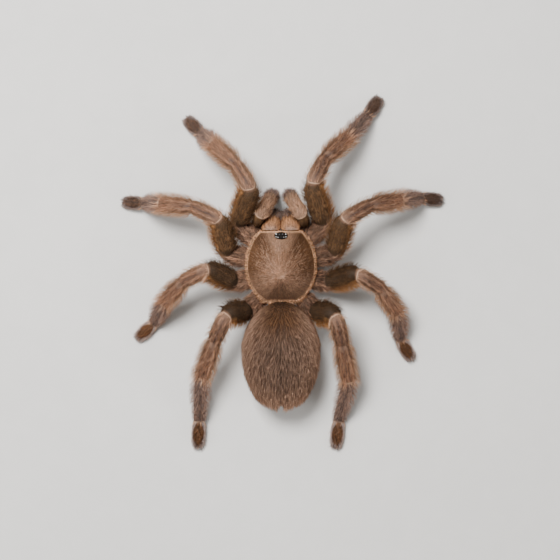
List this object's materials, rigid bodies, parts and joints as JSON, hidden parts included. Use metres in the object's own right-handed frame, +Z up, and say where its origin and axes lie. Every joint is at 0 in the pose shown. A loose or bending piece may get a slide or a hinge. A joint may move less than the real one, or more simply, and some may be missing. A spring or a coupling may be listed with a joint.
{
  "type": "asian fawn tarantula model",
  "caption": "Life-size tarantula standing with its legs spread, for a museum-type display.",
  "frame": {"origin": "on the floor, under the middle of the spider's bounding box", "axes": "+X to the spider's left, +Y towards its rear, +Z up; it faces -Y"},
  "size_m": [0.0992, 0.1092, 0.0226],
  "materials": {
    "abdomen": "long brown hair combed back, tawny at the tips",
    "carapace": "short fawn hair, with pale streaks that spread from the middle and a pale rim",
    "chelicera": "orange tan hair",
    "coxa": "pale greyish hair",
    "eye": "glossy black lens",
    "eye_mound": "dark low mound between the eyes, nearly bare",
    "fang": "glossy black",
    "femur": "dark olive brown hair above, with a tawny fringe at the sides",
    "metatarsus_tarsus": "grey brown hair, dark on top of the foot with a pale pad round it",
    "palp_tarsus": "grey brown hair",
    "patella_tibia": "grey brown hair with pale stripes along it and pale rims at the joints",
    "spinneret": "brown, finely haired",
    "sternum": "dark brown underside with short hair"
  },
  "bodies": {
    "root": {"abdomen": "abdomen", "carapace": "carapace", "chelicera_left": "chelicera", "chelicera_right": "chelicera", "eye_anterior_lateral_left": "eye", "eye_anterior_lateral_right": "eye", "eye_anterior_median_left": "eye", "eye_anterior_median_right": "eye", "eye_mound": "eye_mound", "eye_posterior_lateral_left": "eye", "eye_posterior_lateral_right": "eye", "eye_posterior_median_left": "eye", "eye_posterior_median_right": "eye", "fang_left": "fang", "fang_right": "fang", "leg_1_left_coxa": "coxa", "leg_1_left_femur": "femur", "leg_1_left_metatarsus_tarsus": "metatarsus_tarsus", "leg_1_left_patella_tibia": "patella_tibia", "leg_1_right_coxa": "coxa", "leg_1_right_femur": "femur", "leg_1_right_metatarsus_tarsus": "metatarsus_tarsus", "leg_1_right_patella_tibia": "patella_tibia", "leg_2_left_coxa": "coxa", "leg_2_left_femur": "femur", "leg_2_left_metatarsus_tarsus": "metatarsus_tarsus", "leg_2_left_patella_tibia": "patella_tibia", "leg_2_right_coxa": "coxa", "leg_2_right_femur": "femur", "leg_2_right_metatarsus_tarsus": "metatarsus_tarsus", "leg_2_right_patella_tibia": "patella_tibia", "leg_3_left_coxa": "coxa", "leg_3_left_femur": "femur", "leg_3_left_metatarsus_tarsus": "metatarsus_tarsus", "leg_3_left_patella_tibia": "patella_tibia", "leg_3_right_coxa": "coxa", "leg_3_right_femur": "femur", "leg_3_right_metatarsus_tarsus": "metatarsus_tarsus", "leg_3_right_patella_tibia": "patella_tibia", "leg_4_left_coxa": "coxa", "leg_4_left_femur": "femur", "leg_4_left_metatarsus_tarsus": "metatarsus_tarsus", "leg_4_left_patella_tibia": "patella_tibia", "leg_4_right_coxa": "coxa", "leg_4_right_femur": "femur", "leg_4_right_metatarsus_tarsus": "metatarsus_tarsus", "leg_4_right_patella_tibia": "patella_tibia", "palp_left_coxa": "coxa", "palp_left_femur": "femur", "palp_left_patella_tibia": "patella_tibia", "palp_left_tarsus": "palp_tarsus", "palp_right_coxa": "coxa", "palp_right_femur": "femur", "palp_right_patella_tibia": "patella_tibia", "palp_right_tarsus": "palp_tarsus", "spinneret_left": "spinneret", "spinneret_right": "spinneret", "sternum": "sternum"}
  },
  "joints": []
}
